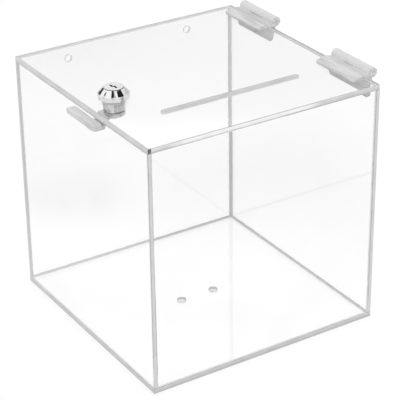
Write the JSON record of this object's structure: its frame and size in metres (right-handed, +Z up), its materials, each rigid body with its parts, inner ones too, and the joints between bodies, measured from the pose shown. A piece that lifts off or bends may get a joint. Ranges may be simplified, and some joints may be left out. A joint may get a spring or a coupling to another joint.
{
  "type": "lockable acrylic box",
  "caption": "Clear cube box of glued acrylic sheet, with a hinged lid that has a posting slot and a cam lock, and screw holes in its back and floor.",
  "frame": {"origin": "middle of the box's underside, on the surface it stands on", "axes": "+Z up; the front with the posting slot nearer to it faces -Y, the hinges are at +X and the lock at -X"},
  "size_m": [0.2075, 0.2, 0.2083],
  "materials": {
    "clear_acrylic": "clear polished cast acrylic sheet",
    "frosted_plastic": "translucent moulded plastic, satin",
    "chrome": "bright chrome plate",
    "plated_steel": "zinc plated, satin",
    "brass": "stamped, plain"
  },
  "bodies": {
    "box": {"bottom_panel": "clear_acrylic", "front_panel": "clear_acrylic", "back_panel": "clear_acrylic", "left_panel": "clear_acrylic", "right_panel": "clear_acrylic", "keeper_block": "clear_acrylic", "hinge_front_wall_leaf": "frosted_plastic", "hinge_rear_wall_leaf": "frosted_plastic", "hinge_front_pin": "frosted_plastic", "hinge_rear_pin": "frosted_plastic"},
    "lid": {"lid_panel": "clear_acrylic", "hinge_front_lid_leaf": "frosted_plastic", "hinge_rear_lid_leaf": "frosted_plastic", "lock_housing": "chrome", "lock_ring": "plated_steel"},
    "plug": {"lock_plug": "chrome", "stop_washer": "plated_steel", "lock_cam": "plated_steel", "lock_washer": "plated_steel", "lock_screw": "plated_steel", "lock_wafers": "brass", "wafer_springs": "plated_steel"}
  },
  "joints": [
    {"name": "lid_swing", "type": "hinge", "parent": "box", "child": "lid", "pos_m": [0.10375, 0, 0.20375], "axis": [0, 1, 0], "range_deg": [0, 268]},
    {"name": "plug_turn", "type": "hinge", "parent": "lid", "child": "plug", "pos_m": [-0.075, -0.01, 0.2], "axis": [0, 0, -1], "range_deg": [0, 90]}
  ]
}
